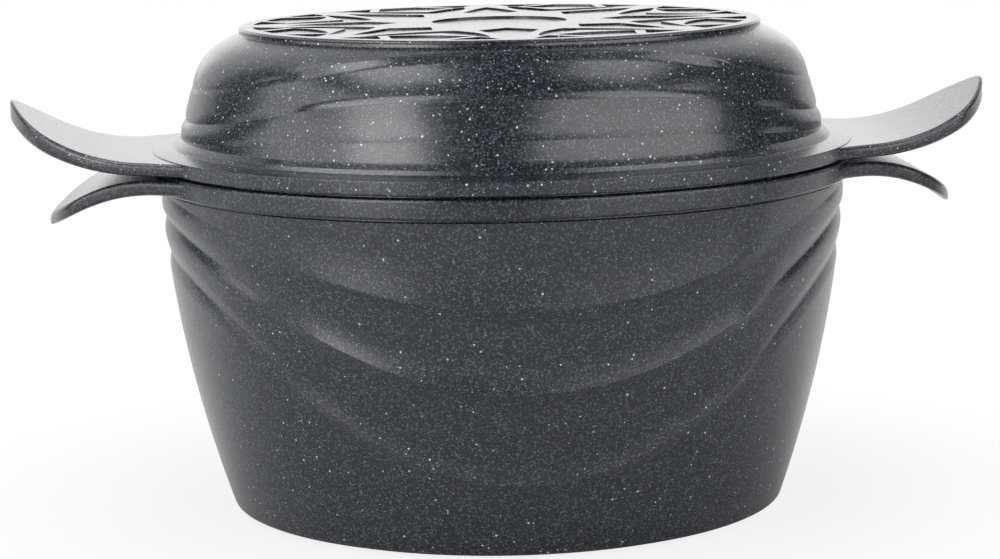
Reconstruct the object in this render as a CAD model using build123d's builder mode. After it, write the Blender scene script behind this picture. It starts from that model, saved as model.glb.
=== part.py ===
"""Cast aluminium casserole whose lid is a frying pan, with swagged walls and pierced base plates."""
import os
from math import asin, cos, hypot, radians, sin, sqrt, tan

from build123d import *

# Driving dimensions in millimetres: the rim that the pot and the pan share
rim_radius = 150.0
wall_thickness = 4.5
seat_step = 1.1
seat_width = 3.5
edge_round = 1.2

# The pot, from the table up
pot_height = 148.9
pot_foot_radius = 119.3
pot_flange = 3.0
pot_belly = 5.1
pot_rim_depth = 7.9
pot_floor_thickness = 5.1
pot_floor_corner = 16.0
pot_foot_round = 2.5

# The frying pan, upside down as the lid, from its rim up
pan_rim_depth = 5.9
pan_rim_crown = 1.3
pan_flange = 10.6
pan_foot_land = 7.3
pan_draft = 16.3
pan_shoulder_height = 36.0
pan_shoulder_round = 24.0
pan_crown_lean = 65.0
pan_wall_thickness = 4.2
pan_floor_thickness = 6.2
pan_floor_corner = 20.0
pan_crown_height = 53.7
pan_base_height = 55.7
tongue_depth = 3.5
tongue_width = 3.0
tongue_clearance = 0.7

# The swags pressed into both walls: depth under the top of the pot's wall or height over the
# pan's rim at the front, and how far the line climbs or falls from there to the handles
pot_swags = ((109.0, 74.0), (69.7, 46.5), (36.3, 26.0))
pan_swags = ((50.5, -18.5), (36.0, -17.5), (20.5, -10.5))
pot_swag_relief = 1.8
pan_swag_relief = 1.4
pot_swag_step = 6.0
pan_swag_step = 2.4
pot_swag_power = 2
pan_swag_power = 3
swag_lean = 8.0
section_step = 15.0

# The lugs, cast on at both sides
pot_lug_reach = 194.5
pan_lug_reach = 209.5
lug_half_width = 40.5
lug_root_angle = 27.0
pot_lug_drop = 22.6
pot_lug_under_drop = 21.6
pan_lug_rise = 26.9
pan_lug_under_rise = 21.8
lug_bend_start = 4.0
lug_under_shift = 2.0
lug_overcut = 3.0

# The pierced base plates
pot_plate_inset = 4.9
pan_plate_inset = 27.6
pot_plate_thickness = 1.4
pan_plate_thickness = 1.2
boss_inset = 0.5
plate_rim = 6.0
plate_edge_round = 0.9
rib_width = 4.2
medallion_radius = 29.0
medallion_recess = 1.0
medallion_land = 3.0
node_count = 8

# Heights and radii that follow from them
pot_foot = pot_plate_thickness
pot_wall_top = pot_height - pot_rim_depth
pot_floor = pot_foot + pot_floor_thickness
seat_height = pot_height + seat_step
pot_wall_top_radius = rim_radius - pot_flange
mouth_radius = pot_wall_top_radius - wall_thickness
pan_rim = seat_height
pan_base = pan_rim + pan_base_height
pan_floor = pan_base - pan_floor_thickness
pan_shoulder = pan_rim + pan_shoulder_height
pan_foot = pan_rim + pan_foot_land
pan_foot_radius = rim_radius - pan_flange
tongue_radius = mouth_radius - tongue_clearance
pan_mouth_radius = tongue_radius - tongue_width
pot_plate_radius = pot_foot_radius - pot_plate_inset
pan_plate_radius = pan_foot_radius - pan_plate_inset
boss_radius = pan_plate_radius - boss_inset
core_radius = 0.9 * boss_radius
core_overlap = 4.0
rim_overlap = 1.0

os.makedirs("parts", exist_ok=True)


def polar(radius, angle):
    """Point at a radius and an angle in degrees from +X."""
    return (radius * cos(radians(angle)), radius * sin(radians(angle)))


def pot_radius(z):
    """Outer radius of the plain pot wall: a straight taper with a belly."""
    share = (z - pot_foot) / (pot_wall_top - pot_foot)
    taper = pot_foot_radius + (pot_wall_top_radius - pot_foot_radius) * share
    return taper + 4 * pot_belly * share * (1 - share)


def pan_radius(z):
    """Outer radius of the plain pan wall: drafted side, round shoulder, shallow crown."""
    if z <= pan_shoulder:
        return pan_foot_radius - (z - pan_foot) * tan(radians(pan_draft))
    side = pan_foot_radius - (pan_shoulder - pan_foot) * tan(radians(pan_draft))
    centre_r = side - pan_shoulder_round * cos(radians(pan_draft))
    centre_z = pan_shoulder - pan_shoulder_round * sin(radians(pan_draft))
    crown_z = centre_z + pan_shoulder_round * sin(radians(pan_crown_lean))
    if z <= crown_z:
        return centre_r + sqrt(pan_shoulder_round**2 - (z - centre_z) ** 2)
    crown_r = centre_r + pan_shoulder_round * cos(radians(pan_crown_lean))
    return crown_r - (z - crown_z) * tan(radians(pan_crown_lean))


def raised(radius_at, z, height):
    """Point of a wall at z, lifted off it square to the surface."""
    slope = (radius_at(z + 0.05) - radius_at(z - 0.05)) / 0.1
    length = hypot(1, slope)
    return (radius_at(z) + height / length, z - height * slope / length)


def swag_height(front, climb, power, angle):
    """Height of a swag line at an angle from the front: a higher power makes it climb later."""
    turn = radians(angle)
    hurry = radians(swag_lean) * sin(turn) ** 2 * sin(2 * turn)
    return front + climb * abs(sin(turn + hurry)) ** power


def wall_bands(radius_at, lines, base, rim, relief, step, angle):
    """Control points of the curved bands of one wall section, from the base to the rim.

    Each band stands proud where it meets the line below it at the front, and sinks there
    near the handles, so that the two surfaces cross over half way round.
    """
    towards = 1 if rim > base else -1
    proud = relief * cos(radians(2 * angle))
    ends = [line - towards * step for line in lines] + [rim]
    start, middle, end = [raised(radius_at, base + (ends[0] - base) * share, 0) for share in (0, 0.5, 1)]
    bulge = tuple(2 * half - (low + high) / 2 for low, half, high in zip(start, middle, end))
    bands = [[start, bulge, end]]
    for line, end in zip(lines, ends[1:]):
        plain = [raised(radius_at, line + (end - line) * share, 0) for share in (1 / 3, 2 / 3, 1)]
        bands.append([raised(radius_at, line, proud), *plain])
    return bands


def section_plane(angle):
    """Upright plane through the axis at an angle from the front, with local x outward."""
    outward = (sin(radians(angle)), -cos(radians(angle)), 0)
    return Plane(origin=(0, 0, 0), x_dir=outward, z_dir=(-cos(radians(angle)), -sin(radians(angle)), 0))


def wall_section(bands, back):
    """Closed outline of one wall section, from its bands and the points that lead back."""
    with BuildLine() as outline:
        for band in bands:
            Bezier(*band)
        for band, following in zip(bands, bands[1:]):
            Line(band[-1], following[0])
        Polyline(bands[-1][-1], *back, bands[0][0])
    return outline.line


def section_angles():
    """Angles of the sections, from one handle round the front to the other."""
    count = round(180 / section_step)
    return [-90 + 180 * index / count for index in range(count + 1)]


def lug_outline(reach):
    """Plan of one lug: flared at the rim, nearly parallel, then a blunt round end."""
    length = reach - rim_radius
    root = polar(rim_radius - rim_overlap, lug_root_angle)
    leaving = (sin(radians(lug_root_angle)), -cos(radians(lug_root_angle)))
    shape = ((0.24, 1.2), (0.57, 1.0), (0.78, 0.82), (0.92, 0.48))
    side = [(rim_radius + share * length, width * lug_half_width) for share, width in shape]
    with BuildLine() as outline:
        half = Spline(root, *side, (reach, 0), tangents=[leaving, (0, -1)])
        mirror(half, about=Plane.XZ)
        Polyline(root, (core_radius, root[1]), (core_radius, -root[1]), (root[0], -root[1]))
    return outline.line


def bend_point(start, tip, reach):
    """Point at a reach on the arc that leaves the start level and ends at the tip."""
    length = tip[0] - start[0]
    drop = tip[1] - start[1]
    radius = (length**2 + drop**2) / (2 * drop)
    return (reach, start[1] + radius * (1 - cos(asin((reach - start[0]) / abs(radius)))))


def lug_side(under, top, reach, under_climb, top_climb):
    """Side view of one lug: a slab that leaves the rim level and curves up or down."""
    beyond = reach + lug_overcut
    turn = 1 if top_climb > 0 else -1
    faces = (
        ((rim_radius + turn * lug_bend_start, top), (beyond, top + top_climb)),
        ((rim_radius + turn * (lug_bend_start + lug_under_shift), under), (beyond, under + under_climb)),
    )
    with BuildLine() as outline:
        for start, tip in faces:
            ThreePointArc(start, bend_point(start, tip, (start[0] + tip[0]) / 2), tip)
        Line(faces[0][1], faces[1][1])
        Polyline(faces[0][0], (core_radius, top), (core_radius, under), faces[1][0])
    return outline.line


def lug(under, top, reach, under_climb, top_climb):
    """One finished lug at the +X side, with rounded edges."""
    with BuildPart() as blank:
        with BuildSketch(Plane.XY.offset(under - reach / 2)):
            with BuildLine():
                add(lug_outline(reach))
            make_face()
        extrude(amount=reach)
        with BuildSketch(Plane.XZ):
            with BuildLine():
                add(lug_side(under, top, reach, under_climb, top_climb))
            make_face()
        extrude(amount=2 * lug_half_width, both=True, mode=Mode.INTERSECT)
        outer = blank.edges().filter_by(lambda edge: edge.bounding_box().max.X > rim_radius)
        chamfer(outer, length=edge_round)
    return blank.part


def ring_face(points, softened):
    """Radial section of a ring from its corner points, some of them softened."""
    with BuildSketch(Plane.XZ) as ring:
        with BuildLine():
            Polyline(*points, close=True)
        make_face()
        chamfer([ring.vertices().sort_by_distance(point)[0] for point in softened], length=edge_round)
    return ring.sketch


def lens(outer):
    """Rim pocket between two nodes, crossed near its ends by two ribs."""
    pitch = 360 / node_count
    start = polar(outer, 0.08 * pitch)
    end = polar(outer, 0.92 * pitch)
    with BuildSketch() as pocket:
        with BuildLine():
            ThreePointArc(start, polar(outer, pitch / 2), end)
            ThreePointArc(start, polar(0.79 * outer, pitch / 2), end)
        make_face()
        for share, lean in ((0.3, 35), (0.7, -35)):
            with Locations(Location(polar(0.93 * outer, pitch * share), pitch * share + lean)):
                Rectangle(outer / 2, rib_width, mode=Mode.SUBTRACT)
    return pocket.sketch


def chevron(outer):
    """Two thin petals that meet half way between two nodes."""
    middle = 180 / node_count
    with BuildSketch() as pocket:
        with BuildLine():
            for side in (1, -1):
                tip = polar(0.9 * outer, middle - side * 0.73 * middle)
                ThreePointArc(
                    tip, polar(0.785 * outer, middle - side * 0.4 * middle), polar(0.68 * outer, middle)
                )
                ThreePointArc(
                    tip, polar(0.73 * outer, middle - side * 0.62 * middle), polar(0.55 * outer, middle)
                )
        make_face()
    return pocket.sketch


def kite(outer):
    """Arrow on a node's own radius, narrow at the rim and square towards the middle."""
    with BuildSketch() as pocket:
        with BuildLine():
            for side in (1, -1):
                wing = polar(0.54 * outer, side * 12.5)
                ThreePointArc(polar(0.86 * outer, 0), polar(0.72 * outer, side * 5), wing)
                Line(wing, polar(0.41 * outer, 0))
        make_face()
    return pocket.sketch


def pierced_plate(radius, thickness):
    """Round base plate lying on the XY plane, pierced by the rosette and the medallion."""
    outer = radius - plate_rim
    with BuildPart() as plate:
        with BuildSketch():
            Circle(radius)
            with PolarLocations(0, node_count):
                for pocket in (lens(outer), chevron(outer), kite(outer)):
                    add(pocket, mode=Mode.SUBTRACT)
            Circle(medallion_radius, mode=Mode.SUBTRACT)
        extrude(amount=thickness)
        rim = plate.edges().filter_by(GeomType.CIRCLE).group_by(Axis.Z)[-1].sort_by(SortBy.LENGTH)[-1]
        chamfer(rim, length=plate_edge_round)
    return plate.part


# The pot: swagged wall on a plain core, rim with its raised seat, two lugs and the cavity
with BuildPart() as pot_casting:
    wall_start = pot_foot + pot_foot_round
    wall_end = pot_wall_top + rim_overlap
    for angle in section_angles():
        lines = [
            swag_height(pot_wall_top - depth, climb, pot_swag_power, angle) for depth, climb in pot_swags
        ]
        bands = wall_bands(pot_radius, lines, wall_start, wall_end, pot_swag_relief, pot_swag_step, angle)
        back = (
            (core_radius, wall_end),
            (core_radius, pot_foot),
            (pot_foot_radius - pot_foot_round, pot_foot),
        )
        with BuildSketch(section_plane(angle)):
            with BuildLine():
                add(wall_section(bands, back))
            make_face()
    loft()
    mirror(about=Plane.XZ)
    with BuildSketch(Plane.XY.offset(pot_foot)):
        Circle(core_radius + core_overlap)
    extrude(amount=pot_wall_top - pot_foot)
    ring = ring_face(
        (
            (core_radius, pot_wall_top),
            (rim_radius, pot_wall_top),
            (rim_radius, pot_height),
            (mouth_radius + seat_width, pot_height),
            (mouth_radius + seat_width, seat_height),
            (core_radius, seat_height),
        ),
        ((rim_radius, pot_wall_top), (rim_radius, pot_height)),
    )
    revolve(ring, axis=Axis.Z)
    pot_lug = lug(pot_wall_top + edge_round, pot_height, pot_lug_reach, -pot_lug_under_drop, -pot_lug_drop)
    add(pot_lug)
    add(pot_lug.mirror(Plane.YZ))
    with BuildSketch(Plane.XZ) as pot_cavity:
        with BuildLine():
            heights = [pot_floor + (pot_wall_top - pot_floor) * share for share in (0, 0.3, 0.62, 1)]
            side = [(pot_radius(height) - wall_thickness, height) for height in heights]
            Polyline(
                *side,
                (mouth_radius, seat_height + rim_overlap),
                (0, seat_height + rim_overlap),
                (0, pot_floor),
                close=True,
            )
        make_face()
        fillet(pot_cavity.vertices().sort_by_distance(side[0])[0], radius=pot_floor_corner)
    revolve(axis=Axis.Z, mode=Mode.SUBTRACT)
    with BuildSketch(Plane.XY.offset(pot_foot)):
        Circle(medallion_radius - medallion_land)
    extrude(amount=medallion_recess, mode=Mode.SUBTRACT)
pot_casting.part.label = "pot_casting"
export_step(pot_casting.part, "parts/pot_casting.step")

# The pot's base plate, its rounded edge downward
with BuildPart() as pot_base_plate:
    add(pierced_plate(pot_plate_radius, pot_plate_thickness).mirror(Plane.XY).moved(Location((0, 0, pot_foot))))
pot_base_plate.part.label = "pot_base_plate"
export_step(pot_base_plate.part, "parts/pot_base_plate.step")

# The frying pan, upside down: swagged wall, base boss, rim with its tongue, two lugs, cavity
with BuildPart() as pan_casting:
    wall_start = pan_rim + pan_crown_height
    wall_end = pan_foot - rim_overlap
    for angle in section_angles():
        lines = [swag_height(pan_rim + front, climb, pan_swag_power, angle) for front, climb in pan_swags]
        bands = wall_bands(pan_radius, lines, wall_start, wall_end, pan_swag_relief, pan_swag_step, angle)
        back = ((core_radius, wall_end), (core_radius, wall_start))
        with BuildSketch(section_plane(angle)):
            with BuildLine():
                add(wall_section(bands, back))
            make_face()
    loft()
    mirror(about=Plane.XZ)
    with BuildSketch(Plane.XY.offset(pan_rim)):
        Circle(core_radius + core_overlap)
    extrude(amount=pan_crown_height)
    with BuildSketch(Plane.XY.offset(pan_shoulder)):
        Circle(boss_radius)
    extrude(amount=pan_base - pan_shoulder)
    ring = ring_face(
        (
            (core_radius, pan_rim),
            (pan_mouth_radius, pan_rim),
            (pan_mouth_radius, pan_rim - tongue_depth),
            (tongue_radius, pan_rim - tongue_depth),
            (tongue_radius, pan_rim),
            (rim_radius, pan_rim),
            (rim_radius, pan_rim + pan_rim_depth),
            (pan_foot_radius, pan_rim + pan_rim_depth + pan_rim_crown),
            (core_radius, pan_foot),
        ),
        (
            (rim_radius, pan_rim),
            (rim_radius, pan_rim + pan_rim_depth),
            (pan_mouth_radius, pan_rim - tongue_depth),
            (tongue_radius, pan_rim - tongue_depth),
        ),
    )
    revolve(ring, axis=Axis.Z)
    pan_lug = lug(pan_rim, pan_rim + pan_rim_depth, pan_lug_reach, pan_lug_under_rise, pan_lug_rise)
    add(pan_lug)
    add(pan_lug.mirror(Plane.YZ))
    with BuildSketch(Plane.XZ) as pan_cavity:
        inner_foot = pan_foot_radius - pan_wall_thickness
        inner_floor = inner_foot - (pan_floor - pan_foot) * tan(radians(pan_draft))
        with BuildLine():
            Polyline(
                (0, pan_rim - tongue_depth - rim_overlap),
                (pan_mouth_radius, pan_rim - tongue_depth - rim_overlap),
                (pan_mouth_radius, pan_rim),
                (inner_foot, pan_foot),
                (inner_floor, pan_floor),
                (0, pan_floor),
                close=True,
            )
        make_face()
        fillet(pan_cavity.vertices().sort_by_distance((inner_floor, pan_floor))[0], radius=pan_floor_corner)
    revolve(axis=Axis.Z, mode=Mode.SUBTRACT)
    with BuildSketch(Plane.XY.offset(pan_base)):
        Circle(medallion_radius - medallion_land)
    extrude(amount=-medallion_recess, mode=Mode.SUBTRACT)
pan_casting.part.label = "pan_casting"
export_step(pan_casting.part, "parts/pan_casting.step")

# The pan's base plate, on top while the pan serves as the lid
with BuildPart() as pan_base_plate:
    add(pierced_plate(pan_plate_radius, pan_plate_thickness).moved(Location((0, 0, pan_base))))
pan_base_plate.part.label = "pan_base_plate"
export_step(pan_base_plate.part, "parts/pan_base_plate.step")
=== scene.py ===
from collections import namedtuple
from math import asin, atan2, cos, hypot, pi, radians, sin, sqrt, tan

import bmesh
import bpy
from mathutils import Matrix, Vector


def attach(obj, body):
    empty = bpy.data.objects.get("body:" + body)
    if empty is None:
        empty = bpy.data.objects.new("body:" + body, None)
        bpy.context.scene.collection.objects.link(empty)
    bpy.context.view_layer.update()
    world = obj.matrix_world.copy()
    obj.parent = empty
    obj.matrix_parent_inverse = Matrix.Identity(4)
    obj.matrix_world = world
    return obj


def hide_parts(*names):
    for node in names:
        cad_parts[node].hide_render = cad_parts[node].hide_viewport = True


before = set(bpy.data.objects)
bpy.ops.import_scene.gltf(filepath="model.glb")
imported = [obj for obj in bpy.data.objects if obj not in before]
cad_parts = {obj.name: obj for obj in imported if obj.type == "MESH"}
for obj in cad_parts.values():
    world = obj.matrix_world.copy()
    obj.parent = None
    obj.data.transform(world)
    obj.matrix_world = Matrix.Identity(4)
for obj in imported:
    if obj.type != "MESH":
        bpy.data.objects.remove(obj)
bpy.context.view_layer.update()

MM = 0.001

# Sizes in millimetres, the same as those of the castings. Heights start where the pot stands
RIM = 150.0
MOUTH = 142.5
SEAT = 150.0
POT_FOOT = 1.4
POT_FOOT_RADIUS = 119.3
POT_BELLY = 5.1
POT_FLOOR = 6.5
POT_WALL = 4.5
POT_WALL_TOP = 141.0
POT_WALL_TOP_RADIUS = 147.0
POT_HEIGHT = 148.9
PAN_FOOT = 157.3
PAN_FOOT_RADIUS = 139.4
PAN_DRAFT = radians(16.3)
PAN_SHOULDER = 186.0
PAN_SHOULDER_ROUND = 24.0
PAN_CROWN_LEAN = radians(65)
PAN_WALL = 4.2
PAN_FLOOR = 199.5
PAN_BASE = 205.7
PAN_BOSS = 111.3

# Each swag: height of its line at the front, climb from there to the sides, how far it stands proud at
# the front and is sunk at the sides, length of its step on the base side and of its run-out on the rim side
Swag = namedtuple("Swag", "front climb proud sunk step flare")
POT_SWAGS = (
    Swag(32.5, 80.0, 1.8, 1.4, 7.0, 9.0),
    Swag(71.3, 57.0, 2.2, 1.6, 7.0, 12.0),
    Swag(104.7, 35.0, 1.8, 0.7, 7.0, 18.0),
)
PAN_SWAGS = (
    Swag(200.7, -18.5, 2.0, 0.2, 2.0, 2.6),
    Swag(184.6, -16.0, 1.7, 0.9, 4.0, 12.0),
    Swag(169.6, -8.0, 0.25, 0.8, 3.4, 5.0),
)

# Each lug: reach, heights of its under and top faces at the rim, and for each face the reach at which it
# starts to bend and the radius of the bend. The way it bends is 1 for up and -1 for down
Lug = namedtuple("Lug", "reach under top under_arc top_arc way")
POT_LUG = Lug(194.5, 142.3, 148.3, (144, 77), (146, 70), -1)
PAN_LUG = Lug(209.5, 150.15, 155.6, (156, 84), (154, 77), 1)
LUG_ROOT = 149.3
LUG_ROOT_ANGLE = 27
LUG_ROUNDING = 2.0
# Plan of a lug from root to tip: share of its length, half its width there
LUG_PLAN = ((0.24, 48.6), (0.57, 40.5), (0.78, 33.2), (0.92, 19.4), (1, 0))
STRIP = 2
FIRST_STRIP = 146

PLATE_ROUNDING = 0.3

# Upright lines in one turn of a wall, and where each swag has its points, as shares of its step and run-out
COLUMNS = 288
STEP_SHARES = (0.15, 0.3, 0.45, 0.6, 0.72, 0.84, 0.94)
FLARE_SHARES = (0, 0.03, 0.1, 0.2, 0.32, 0.45, 0.6, 0.75, 0.88, 1)
# Faces that meet at a wider angle than this keep a hard edge
HARD_ANGLE = radians(66)

# Flecks of the coating: size of the cells that hold one each, least and most size of a fleck, colour
GREY_FLECKS = (1.3, 0.35, 0.7, "#7f8287")
WHITE_FLECKS = (2.6, 0.4, 1.1, "#b2b8c0")


def pot_radius(z):
    """Outer radius of the plain pot wall at a height: it widens upwards and has a slight belly."""
    share = (z - POT_FOOT) / (POT_WALL_TOP - POT_FOOT)
    spread = POT_WALL_TOP_RADIUS - POT_FOOT_RADIUS
    return POT_FOOT_RADIUS + spread * share + 4 * POT_BELLY * share * (1 - share)


def pan_radius(z):
    """Outer radius of the plain pan wall: drafted side, round shoulder, shallow crown."""
    if z <= PAN_SHOULDER:
        return PAN_FOOT_RADIUS - (z - PAN_FOOT) * tan(PAN_DRAFT)
    side = PAN_FOOT_RADIUS - (PAN_SHOULDER - PAN_FOOT) * tan(PAN_DRAFT)
    centre_radius = side - PAN_SHOULDER_ROUND * cos(PAN_DRAFT)
    centre_z = PAN_SHOULDER - PAN_SHOULDER_ROUND * sin(PAN_DRAFT)
    crown_z = centre_z + PAN_SHOULDER_ROUND * sin(PAN_CROWN_LEAN)
    if z <= crown_z:
        return centre_radius + sqrt(PAN_SHOULDER_ROUND**2 - (z - centre_z) ** 2)
    return centre_radius + PAN_SHOULDER_ROUND * cos(PAN_CROWN_LEAN) - (z - crown_z) * tan(PAN_CROWN_LEAN)


def raised(radius_at, z, height):
    """Point of a wall at z, lifted off it square to the surface."""
    slope = (radius_at(z + 0.05) - radius_at(z - 0.05)) / 0.1
    length = hypot(1, slope)
    return radius_at(z) + height / length, z - height * slope / length


def swag_height(swag, power, turn):
    """Height of a swag line at a turn from the front. It climbs a little sooner than a plain wave would."""
    hurry = radians(8) * sin(turn) ** 2 * sin(2 * turn)
    return swag.front + swag.climb * abs(sin(turn + hurry)) ** power


def side_change(turn):
    """1 at the front and back, where the swags stand proud, and -1 at the sides, where they are sunk.
    It changes between 35 and 51 degrees off the front."""
    off_front = min(abs(turn), pi - abs(turn))
    return sin(pi / 2 * max(-1, min(1, 3.5 * cos(2.1 * off_front))))


def eased(share):
    """0 to 1, steep at first and level at the end."""
    return 1.5 * share - 0.5 * share**3


def swagged_wall(radius_at, swags, power, base, rim, turn):
    """Points of one upright line of the wall, from the base to the rim, with a pleat at each swag."""
    towards = 1 if rim > base else -1
    change = side_change(turn)
    lines = [swag_height(swag, power, turn) for swag in swags]
    starts = [line - towards * swag.step for line, swag in zip(lines, swags)]
    points = [raised(radius_at, base + (starts[0] - base) * step / 12, 0) for step in range(13)]
    for line, end, swag in zip(lines, starts[1:] + [rim], swags):
        height = change * (swag.proud if change > 0 else swag.sunk)
        gap = abs(end - line)
        reach = min(swag.flare, 0.98 * gap)
        # At the sides the last pleat stays sunk all the way to the rim
        kept = 1 if end == rim and change < 0 else 0
        for share in STEP_SHARES:
            short = 1 - share
            points.append(raised(radius_at, line - towards * swag.step * short, height * (1 - eased(short))))
        for share in FLARE_SHARES:
            left = 1 - (1 - kept) * eased(share)
            points.append(raised(radius_at, line + towards * reach * share, height * left))
        for share in (0.5, 1):
            points.append(raised(radius_at, line + towards * (reach + (gap - reach) * share), height * kept))
    return points


def rounded(corners, radius, steps=4):
    """Inner corners of a line of points, each turned into a small arc of that radius, or less where tight."""
    points = []
    for before, corner, after in zip(corners, corners[1:], corners[2:]):
        here = Vector(corner)
        arms = [Vector(other) - here for other in (before, after)]
        ways = [arm.normalized() for arm in arms]
        half = ways[0].angle(ways[1]) / 2
        reach = min(radius / tan(half), 0.45 * min(arm.length for arm in arms))
        middle = here + (ways[0] + ways[1]).normalized() * reach / cos(half)
        ends = [here + way * reach for way in ways]
        for step in range(steps + 1):
            spoke = ends[0].lerp(ends[1], step / steps) - middle
            points.append(tuple(middle + spoke.normalized() * reach * tan(half)))
    return points


def turned_shell(section):
    """Closed turned form: a plain blank is spun, and its rows are then set to the section of each turn."""
    rows = len(section(0))
    blank = bmesh.new()
    line = [blank.verts.new((1, 0, row)) for row in range(rows)]
    edges = [blank.edges.new(pair) for pair in zip(line, line[1:])]
    bmesh.ops.spin(
        blank, geom=line + edges, cent=(0, 0, 0), axis=(0, 0, 1), angle=2 * pi, steps=COLUMNS, use_merge=True
    )
    sections = {}
    for vert in blank.verts:
        turn = atan2(vert.co.x, -vert.co.y)
        key = round(turn * COLUMNS / (2 * pi)) % COLUMNS
        if key not in sections:
            sections[key] = section(turn)
        radius, height = sections[key][round(vert.co.z)]
        vert.co = (radius * sin(turn) * MM, -radius * cos(turn) * MM, height * MM)
    bmesh.ops.remove_doubles(blank, verts=blank.verts, dist=1e-7)
    bmesh.ops.recalc_face_normals(blank, faces=blank.faces)
    return blank


def pot_section(turn):
    """Section of the pot from the middle of its underside, up the wall, over the rim and down inside."""
    hollow = POT_FOOT + 1
    foot = [(0, hollow), (24, hollow)]
    foot += rounded([(24, hollow), (26, hollow), (26, POT_FOOT), (30, POT_FOOT)], 0.4)
    foot += [(60, POT_FOOT), (112, POT_FOOT)]
    foot += rounded([(112, POT_FOOT), (POT_FOOT_RADIUS, POT_FOOT), (pot_radius(4.5), 4.5)], 2.6)
    wall = swagged_wall(pot_radius, POT_SWAGS, 2, 4.6, 139.4, turn)
    rim = rounded(
        [
            wall[-1], (145.9, 139.6), (145.9, POT_WALL_TOP), (RIM, POT_WALL_TOP), (RIM, POT_HEIGHT),
            (146, POT_HEIGHT), (146, SEAT), (MOUTH, SEAT), (MOUTH, 140),
        ],
        1.0,
    )
    inside = [(pot_radius(z) - POT_WALL, z) for z in (139, 130, 115, 100, 85, 70, 55, 42, 32, 26)]
    corner = (pot_radius(POT_FLOOR) - POT_WALL, POT_FLOOR)
    floor = rounded([inside[-1], corner, (90, POT_FLOOR)], 16, 8)
    return foot + wall + rim + inside + floor + [(60, POT_FLOOR), (0, POT_FLOOR)]


def pan_section(turn):
    """Section of the pan, upside down, from the middle of its base over the wall and rim to its floor."""
    # The plate is pressed into the base, so the metal stands up in the plate's openings
    pressed = PAN_BASE + 0.35
    hollow = PAN_BASE + 0.1
    base = [(0, hollow), (24, hollow)]
    base += rounded([(24, hollow), (26.5, hollow), (26.5, pressed), (30, pressed)], 0.3)
    base += [(60, pressed), (104, pressed), (110.5, pressed), (110.5, PAN_BASE)]
    base += rounded(
        [(110.5, PAN_BASE), (PAN_BOSS, PAN_BASE), (PAN_BOSS + 0.3, 204.2), (pan_radius(203.6), 203.6)], 0.7
    )
    wall = swagged_wall(pan_radius, PAN_SWAGS, 3, 203.4, 161.0, turn)
    rim = rounded(
        [
            wall[-1], (PAN_FOOT_RADIUS + 0.2, 158.9), (141.2, 157.2), (149.4, 156.0), (RIM, 155.9), (RIM, SEAT),
            (141.8, SEAT), (141.8, 146.5), (138.8, 146.5), (138.8, SEAT), (137, 154),
        ],
        1.0,
    )
    inside = [(PAN_FOOT_RADIUS - PAN_WALL - (z - PAN_FOOT) * tan(PAN_DRAFT), z) for z in (158, 165, 172)]
    floor = rounded([(130.9, 172), (122.9, PAN_FLOOR), (80, PAN_FLOOR)], 20, 8)
    return base + wall + rim + inside + floor + [(50, PAN_FLOOR), (0, PAN_FLOOR)]


def polar(radius, degrees):
    """Point of a plan at a radius and an angle from +X."""
    return radius * cos(radians(degrees)), radius * sin(radians(degrees))


def through(p, q, r, s, t):
    """Value at a share t of the way from q to r, on a smooth line through four values."""
    square, cube = 2 * p - 5 * q + 4 * r - s, 3 * q - p - 3 * r + s
    return 0.5 * (2 * q + (r - p) * t + square * t**2 + cube * t**3)


def smooth_side(knots):
    """Points of a smooth line through the knots, without the first and the last, which only steer it."""
    points = []
    for four in zip(knots, knots[1:], knots[2:], knots[3:]):
        for step in range(10):
            points.append(tuple(through(*values, step / 10) for values in zip(*four)))
    return points


def lug_outline(reach):
    """Plan of one lug: it leaves the rim along the rim's own curve, then ends blunt and round."""
    root = polar(LUG_ROOT, LUG_ROOT_ANGLE)
    knots = [(root[0] - 8, root[1] + 15), root]
    knots += [(RIM + share * (reach - RIM), half_width) for share, half_width in LUG_PLAN]
    knots.append((knots[-2][0], -knots[-2][1]))
    side = smooth_side(knots)
    along_rim = [polar(LUG_ROOT, angle) for angle in range(1 - LUG_ROOT_ANGLE, LUG_ROOT_ANGLE, 2)]
    return side + [(reach, 0)] + [(x, -y) for x, y in reversed(side)] + along_rim


def bent(x, start, radius, way):
    """Height that a face gains or loses at a reach, once it has started to bend."""
    if x <= start:
        return 0
    return way * radius * (1 - cos(asin(min(0.999, (x - start) / radius))))


def lug_blank(lug):
    """One lug at the +X side: a plate of the lug's plan with rounded edges, cut into strips and bent."""
    blank = bmesh.new()
    thick = lug.top - lug.under
    low = [blank.verts.new((x, y, 0)) for x, y in lug_outline(lug.reach)]
    block = bmesh.ops.extrude_face_region(blank, geom=[blank.faces.new(low)])
    high = [part for part in block["geom"] if isinstance(part, bmesh.types.BMVert)]
    bmesh.ops.translate(blank, verts=high, vec=(0, 0, thick))
    bmesh.ops.recalc_face_normals(blank, faces=blank.faces)
    # The level edges outside the casting's rim are rounded
    free = [
        edge for edge in blank.edges
        if abs(edge.verts[0].co.z - edge.verts[1].co.z) < 0.01
        and max(hypot(*vert.co.xy) for vert in edge.verts) > LUG_ROOT + 0.1
    ]
    bmesh.ops.bevel(
        blank, geom=free, affect="EDGES", offset=LUG_ROUNDING, segments=5, profile=0.5, material=-1,
        clamp_overlap=False,
    )
    for strip in range(1, int((lug.reach - FIRST_STRIP) / STRIP)):
        every = blank.verts[:] + blank.edges[:] + blank.faces[:]
        cut = (FIRST_STRIP + STRIP * strip, 0, 0)
        bmesh.ops.bisect_plane(blank, geom=every, plane_co=cut, plane_no=(1, 0, 0))
    for vert in blank.verts:
        x, y, z = vert.co
        if z > thick / 2:
            z = lug.top - (thick - z) + bent(x, *lug.top_arc, lug.way)
        else:
            z = lug.under + z + bent(x, *lug.under_arc, lug.way)
        vert.co = Vector((x, y, z)) * MM
    return blank


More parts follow.
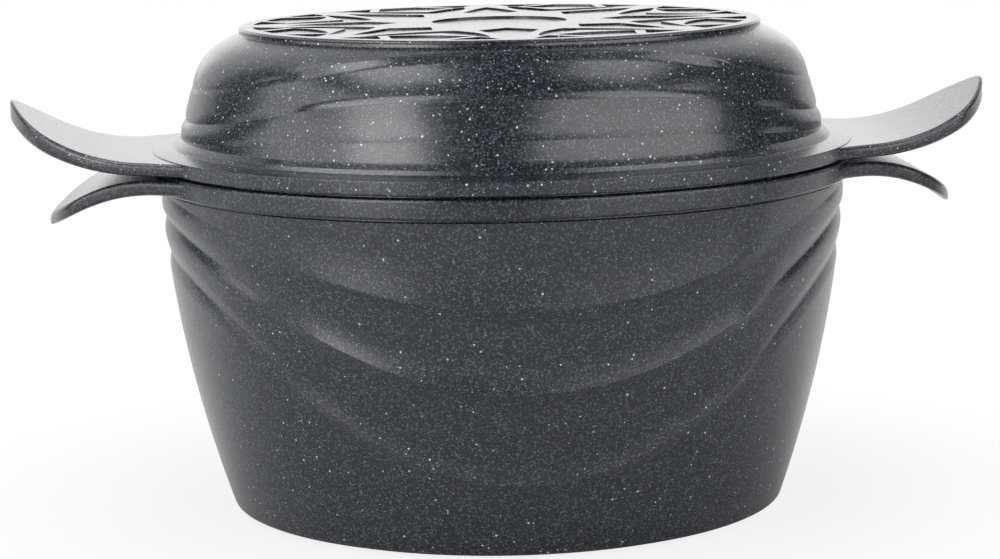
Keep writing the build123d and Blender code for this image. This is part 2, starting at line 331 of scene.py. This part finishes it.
def finished(blank, name, body, node, finish):
    """Makes a named piece of a blank, smooth but for its hard edges, and puts it in its node's place."""
    mesh = bpy.data.meshes.new(name)
    blank.to_mesh(mesh)
    blank.free()
    for polygon in mesh.polygons:
        polygon.use_smooth = True
    mesh.set_sharp_from_angle(angle=HARD_ANGLE)
    piece = bpy.data.objects.new(name, mesh)
    bpy.context.scene.collection.objects.link(piece)
    even = piece.modifiers.new("even shading", "WEIGHTED_NORMAL")
    even.keep_sharp = True
    mesh.materials.append(finish)
    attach(piece, body)
    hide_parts(node)
    return piece


def casting(name, body, node, section, lug, finish):
    """A shell with a lug at each side, as one piece that stands for a casting."""
    whole = turned_shell(section)
    for turn in (0, pi):
        side = lug_blank(lug)
        bmesh.ops.rotate(side, verts=side.verts, cent=(0, 0, 0), matrix=Matrix.Rotation(turn, 3, "Z"))
        mesh = bpy.data.meshes.new("lug")
        side.to_mesh(mesh)
        side.free()
        whole.from_mesh(mesh)
        bpy.data.meshes.remove(mesh)
    return finished(whole, name, body, node, finish)


def plate(name, body, node, finish):
    """A pierced base plate with softened edges, from a merged copy of its own node."""
    blank = bmesh.new()
    blank.from_mesh(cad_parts[node].data)
    bmesh.ops.remove_doubles(blank, verts=blank.verts, dist=1e-6)
    bmesh.ops.dissolve_limit(
        blank, angle_limit=radians(1), verts=blank.verts, edges=blank.edges, delimit=set()
    )
    hard = [edge for edge in blank.edges if len(edge.link_faces) == 2 and edge.calc_face_angle() > radians(60)]
    bmesh.ops.bevel(
        blank, geom=hard, affect="EDGES", offset=PLATE_ROUNDING * MM, segments=3, profile=0.5, material=-1,
        clamp_overlap=True,
    )
    return finished(blank, name, body, node, finish)


def linear(hex_colour):
    """sRGB hex to linear."""
    parts = [int(hex_colour[i:i + 2], 16) / 255 for i in (1, 3, 5)]
    return tuple(c / 12.92 if c <= 0.04045 else ((c + 0.055) / 1.055) ** 2.4 for c in parts) + (1,)


def node(tree, kind, settings=None, **links):
    """Adds one shader node, with its settings, its socket values and its links."""
    made = tree.nodes.new(kind)
    for name, value in (settings or {}).items():
        setattr(made, name, value)
    for name, value in links.items():
        socket = made.inputs[int(name[1:])] if name[1:].isdigit() else made.inputs[name.replace("_", " ")]
        if isinstance(value, bpy.types.NodeSocket):
            tree.links.new(value, socket)
        else:
            socket.default_value = value
    return made


def material(name):
    """A new material with an empty tree."""
    made = bpy.data.materials.new(name)
    made.use_nodes = True
    made.node_tree.nodes.clear()
    return made, made.node_tree


def flecks(tree, place, cell, least, most, share):
    """Mask of round sprayed flecks, one at most in each cell: sizes in millimetres, share of cells filled."""
    cells = node(tree, "ShaderNodeTexVoronoi", Vector=place, Scale=1000 / cell)
    chance = node(tree, "ShaderNodeSeparateColor", Color=cells.outputs["Color"])
    size = node(
        tree, "ShaderNodeMapRange",
        _0=chance.outputs[0], _1=0.0, _2=1.0, _3=least / cell / 2, _4=most / cell / 2,
    )
    filled = node(tree, "ShaderNodeMath", {"operation": "LESS_THAN"}, _0=chance.outputs[1], _1=share)
    reach = node(tree, "ShaderNodeMath", {"operation": "MULTIPLY"}, _0=size.outputs[0], _1=filled.outputs[0])
    inside = node(
        tree, "ShaderNodeMath", {"operation": "SUBTRACT"}, _0=reach.outputs[0], _1=cells.outputs["Distance"]
    )
    return node(
        tree, "ShaderNodeMapRange", _0=inside.outputs[0], _1=0.0, _2=0.2 / cell, _3=0.0, _4=1.0
    ).outputs[0]


def granite_coating(name, base, rim, grey_shares, white_shares):
    """Sprayed non-stick coating on cast aluminium: satin dark slate with a fine sandy grain. Small grey and
    white flecks lie in it, thicker near the base, which faced the spray, and thinner near the rim. Base and
    rim are heights in millimetres, and each pair of shares says how full of flecks the coating is there."""
    made, tree = material(name)
    place = node(tree, "ShaderNodeTexCoord").outputs["Object"]
    height = node(tree, "ShaderNodeSeparateXYZ", Vector=place).outputs["Z"]
    # The grit is about 0.2 mm, drawn at 0.6 mm so that it shows
    grit = node(tree, "ShaderNodeTexVoronoi", Vector=place, Scale=1 / 0.0006)
    chance = node(tree, "ShaderNodeSeparateColor", Color=grit.outputs["Color"]).outputs[0]
    sandy = node(
        tree, "ShaderNodeMath", {"operation": "POWER"},
        _0=node(tree, "ShaderNodeMapRange", _0=chance, _1=0.3, _2=1.0, _3=0.0, _4=1.0).outputs[0], _1=3.0,
    )
    tone = node(
        tree, "ShaderNodeMix", {"data_type": "RGBA"},
        _0=sandy.outputs[0], _6=linear("#0b0d12"), _7=linear("#444a55"),
    )
    for shares, (cell, least, most, colour) in ((grey_shares, GREY_FLECKS), (white_shares, WHITE_FLECKS)):
        share = node(
            tree, "ShaderNodeMapRange", _0=height, _1=base * MM, _2=rim * MM, _3=shares[0], _4=shares[1]
        )
        tone = node(
            tree, "ShaderNodeMix", {"data_type": "RGBA"},
            _0=flecks(tree, place, cell, least, most, share.outputs[0]),
            _6=tone.outputs[2], _7=linear(colour),
        )
    bump = node(tree, "ShaderNodeBump", Strength=0.35, Distance=0.0001, Height=chance)
    shader = node(
        tree, "ShaderNodeBsdfPrincipled",
        Base_Color=tone.outputs[2], Roughness=0.25, IOR=1.6, Normal=bump.outputs[0],
    )
    node(tree, "ShaderNodeOutputMaterial", Surface=shader.outputs[0])
    return made


def turned_steel():
    """Stainless steel plate, faced on a lathe: fine rings that draw the light into a fan."""
    made, tree = material("turned stainless steel")
    place = node(tree, "ShaderNodeTexCoord").outputs["Object"]
    rings = node(
        tree, "ShaderNodeTexWave", {"wave_type": "RINGS", "rings_direction": "Z"},
        Vector=place, Scale=1 / 0.0012, Distortion=1.5, Detail=2.0,
    ).outputs["Fac"]
    tone = node(
        tree, "ShaderNodeMix", {"data_type": "RGBA"}, _0=rings, _6=linear("#9a9a9b"), _7=linear("#b4b4b3")
    )
    bump = node(tree, "ShaderNodeBump", Strength=0.15, Distance=0.00005, Height=rings)
    shader = node(
        tree, "ShaderNodeBsdfPrincipled",
        Base_Color=tone.outputs[2], Metallic=1.0, Roughness=0.32, Normal=bump.outputs[0],
    )
    node(tree, "ShaderNodeOutputMaterial", Surface=shader.outputs[0])
    return made


def pale_floor():
    """Matt pale studio floor round the object, which fades into the white of the backdrop further off. From
    below it is clear, so that the underside of the pot can be looked at."""
    made, tree = material("pale floor")
    place = node(tree, "ShaderNodeTexCoord").outputs["Object"]
    distance = node(tree, "ShaderNodeVectorMath", {"operation": "LENGTH"}, Vector=place).outputs["Value"]
    far = node(
        tree, "ShaderNodeMapRange", {"interpolation_type": "SMOOTHSTEP"},
        _0=distance, _1=0.12, _2=0.3, _3=0.84, _4=1.0,
    )
    # The white shows to the camera, through clear things, and in reflections of what lies behind the object
    ray = node(tree, "ShaderNodeLightPath")
    rearwards = node(
        tree, "ShaderNodeMapRange", {"interpolation_type": "SMOOTHSTEP"},
        _0=node(tree, "ShaderNodeSeparateXYZ", Vector=place).outputs["Y"], _1=-0.1, _2=0.15, _3=0.0, _4=1.0,
    )
    mirrored = node(
        tree, "ShaderNodeMath", {"operation": "MULTIPLY"},
        _0=ray.outputs["Is Glossy Ray"], _1=rearwards.outputs[0],
    )
    seen = node(
        tree, "ShaderNodeMath", {"operation": "MAXIMUM"},
        _0=ray.outputs["Is Camera Ray"], _1=mirrored.outputs[0],
    )
    seen = node(
        tree, "ShaderNodeMath", {"operation": "MAXIMUM"},
        _0=ray.outputs["Is Transmission Ray"], _1=seen.outputs[0],
    )
    share = node(tree, "ShaderNodeMath", {"operation": "MULTIPLY"}, _0=far.outputs[0], _1=seen.outputs[0])
    lit = node(tree, "ShaderNodeBsdfDiffuse", Color=linear("#c4c4c4"))
    glow = node(tree, "ShaderNodeEmission", Color=(1, 1, 1, 1), Strength=1.0)
    above = node(tree, "ShaderNodeMixShader", _0=share.outputs[0], _1=lit.outputs[0], _2=glow.outputs[0])
    both = node(
        tree, "ShaderNodeMixShader", _0=node(tree, "ShaderNodeNewGeometry").outputs["Backfacing"],
        _1=above.outputs[0], _2=node(tree, "ShaderNodeBsdfTransparent").outputs[0],
    )
    node(tree, "ShaderNodeOutputMaterial", Surface=both.outputs[0])
    return made


def studio_world():
    """Dark studio with a white backdrop, which stands behind the object and leans over it a little."""
    world = bpy.data.worlds.new("studio")
    world.use_nodes = True
    tree = world.node_tree
    tree.nodes.clear()
    direction = node(
        tree, "ShaderNodeSeparateXYZ", Vector=node(tree, "ShaderNodeTexCoord").outputs["Generated"]
    )
    behind = node(
        tree, "ShaderNodeMapRange", {"interpolation_type": "SMOOTHSTEP"},
        _0=node(
            tree, "ShaderNodeMath", {"operation": "MULTIPLY_ADD"},
            _0=direction.outputs["Z"], _1=0.35, _2=direction.outputs["Y"],
        ).outputs[0],
        _1=0.66, _2=0.84, _3=0.06, _4=1.0,
    )
    ray = node(tree, "ShaderNodeLightPath")
    seen = node(
        tree, "ShaderNodeMath", {"operation": "MAXIMUM"},
        _0=ray.outputs["Is Camera Ray"], _1=ray.outputs["Is Transmission Ray"],
    )
    bright = node(
        tree, "ShaderNodeMath", {"operation": "MAXIMUM"}, _0=seen.outputs[0], _1=behind.outputs[0]
    )
    back = node(tree, "ShaderNodeBackground", Color=(1, 1, 1, 1), Strength=bright.outputs[0])
    node(tree, "ShaderNodeOutputWorld", Surface=back.outputs[0])
    return world


def softbox(name, azimuth, elevation, distance, width, height, power):
    """A soft rectangular lamp that faces the middle of the object. Azimuths run from the front to the right."""
    lamp = bpy.data.lights.new(name, "AREA")
    lamp.shape = "RECTANGLE"
    lamp.size = width
    lamp.size_y = height
    lamp.energy = power
    made = bpy.data.objects.new(name, lamp)
    turn, rise = radians(azimuth), radians(elevation)
    away = Vector((sin(turn) * cos(rise), -cos(turn) * cos(rise), sin(rise)))
    made.location = Vector((0, 0, 0.12)) + away * distance
    made.rotation_euler = (-away).to_track_quat("-Z", "Y").to_euler()
    made.visible_camera = False
    bpy.context.scene.collection.objects.link(made)


# The four pieces
pot_coating = granite_coating("sprayed granite coating of the pot", 0, 149, (0.6, 0.1), (0.4, 0.03))
pan_coating = granite_coating("sprayed granite coating of the pan", 206, 150, (1.0, 0.7), (0.9, 0.5))
plate_coating = granite_coating(
    "sprayed granite coating on pierced steel", 206, 150, (0.25, 0.25), (0.3, 0.3)
)
steel = turned_steel()
casting("pot_casting_skin", "pot", "pot_casting", pot_section, POT_LUG, pot_coating)
casting("pan_casting_skin", "pan_lid", "pan_casting", pan_section, PAN_LUG, pan_coating)
plate("pot_base_plate_skin", "pot", "pot_base_plate", steel)
plate("pan_base_plate_skin", "pan_lid", "pan_base_plate", plate_coating)

# Floor, a little under the plate that the pot stands on
bpy.ops.mesh.primitive_plane_add(size=12, location=(0, 0, -0.0003))
floor = bpy.context.object
floor.name = "floor"
floor.data.materials.append(pale_floor())

# Light: angles in degrees, then distance, width and height in metres, then watts
bpy.context.scene.world = studio_world()
softbox("left softbox", -43, 17, 1.5, 0.62, 1.0, 12)
softbox("left fill", -77, 17, 1.5, 1.25, 1.0, 9)
softbox("right softbox", 43, 17, 1.5, 1.9, 1.0, 18)
softbox("left overhead strip", -85, 61, 1.3, 1.0, 0.55, 8)
softbox("right overhead strip", 85, 61, 1.3, 1.0, 0.55, 5)
softbox("back softbox", 180, 12, 1.6, 1.6, 0.5, 2.5)

# Camera at the photograph's viewing angle: a little left of the front, looking down and rolled by a degree
camera = bpy.data.objects.new("camera", bpy.data.cameras.new("camera"))
camera.data.sensor_width = 36
camera.data.lens = 103.53
heading = Matrix.Rotation(radians(-3.7), 4, "Z")
place = Vector((-0.0017847, -1.2368334, 0.2920097))
dip = Matrix.Rotation(pi / 2 - 0.1585, 4, "X")
roll = Matrix.Rotation(-0.0188, 4, "Z")
camera.matrix_world = Matrix.Translation(heading @ place) @ heading @ dip @ roll
bpy.context.scene.collection.objects.link(camera)
bpy.context.scene.camera = camera

bpy.context.scene.view_settings.view_transform = "Standard"
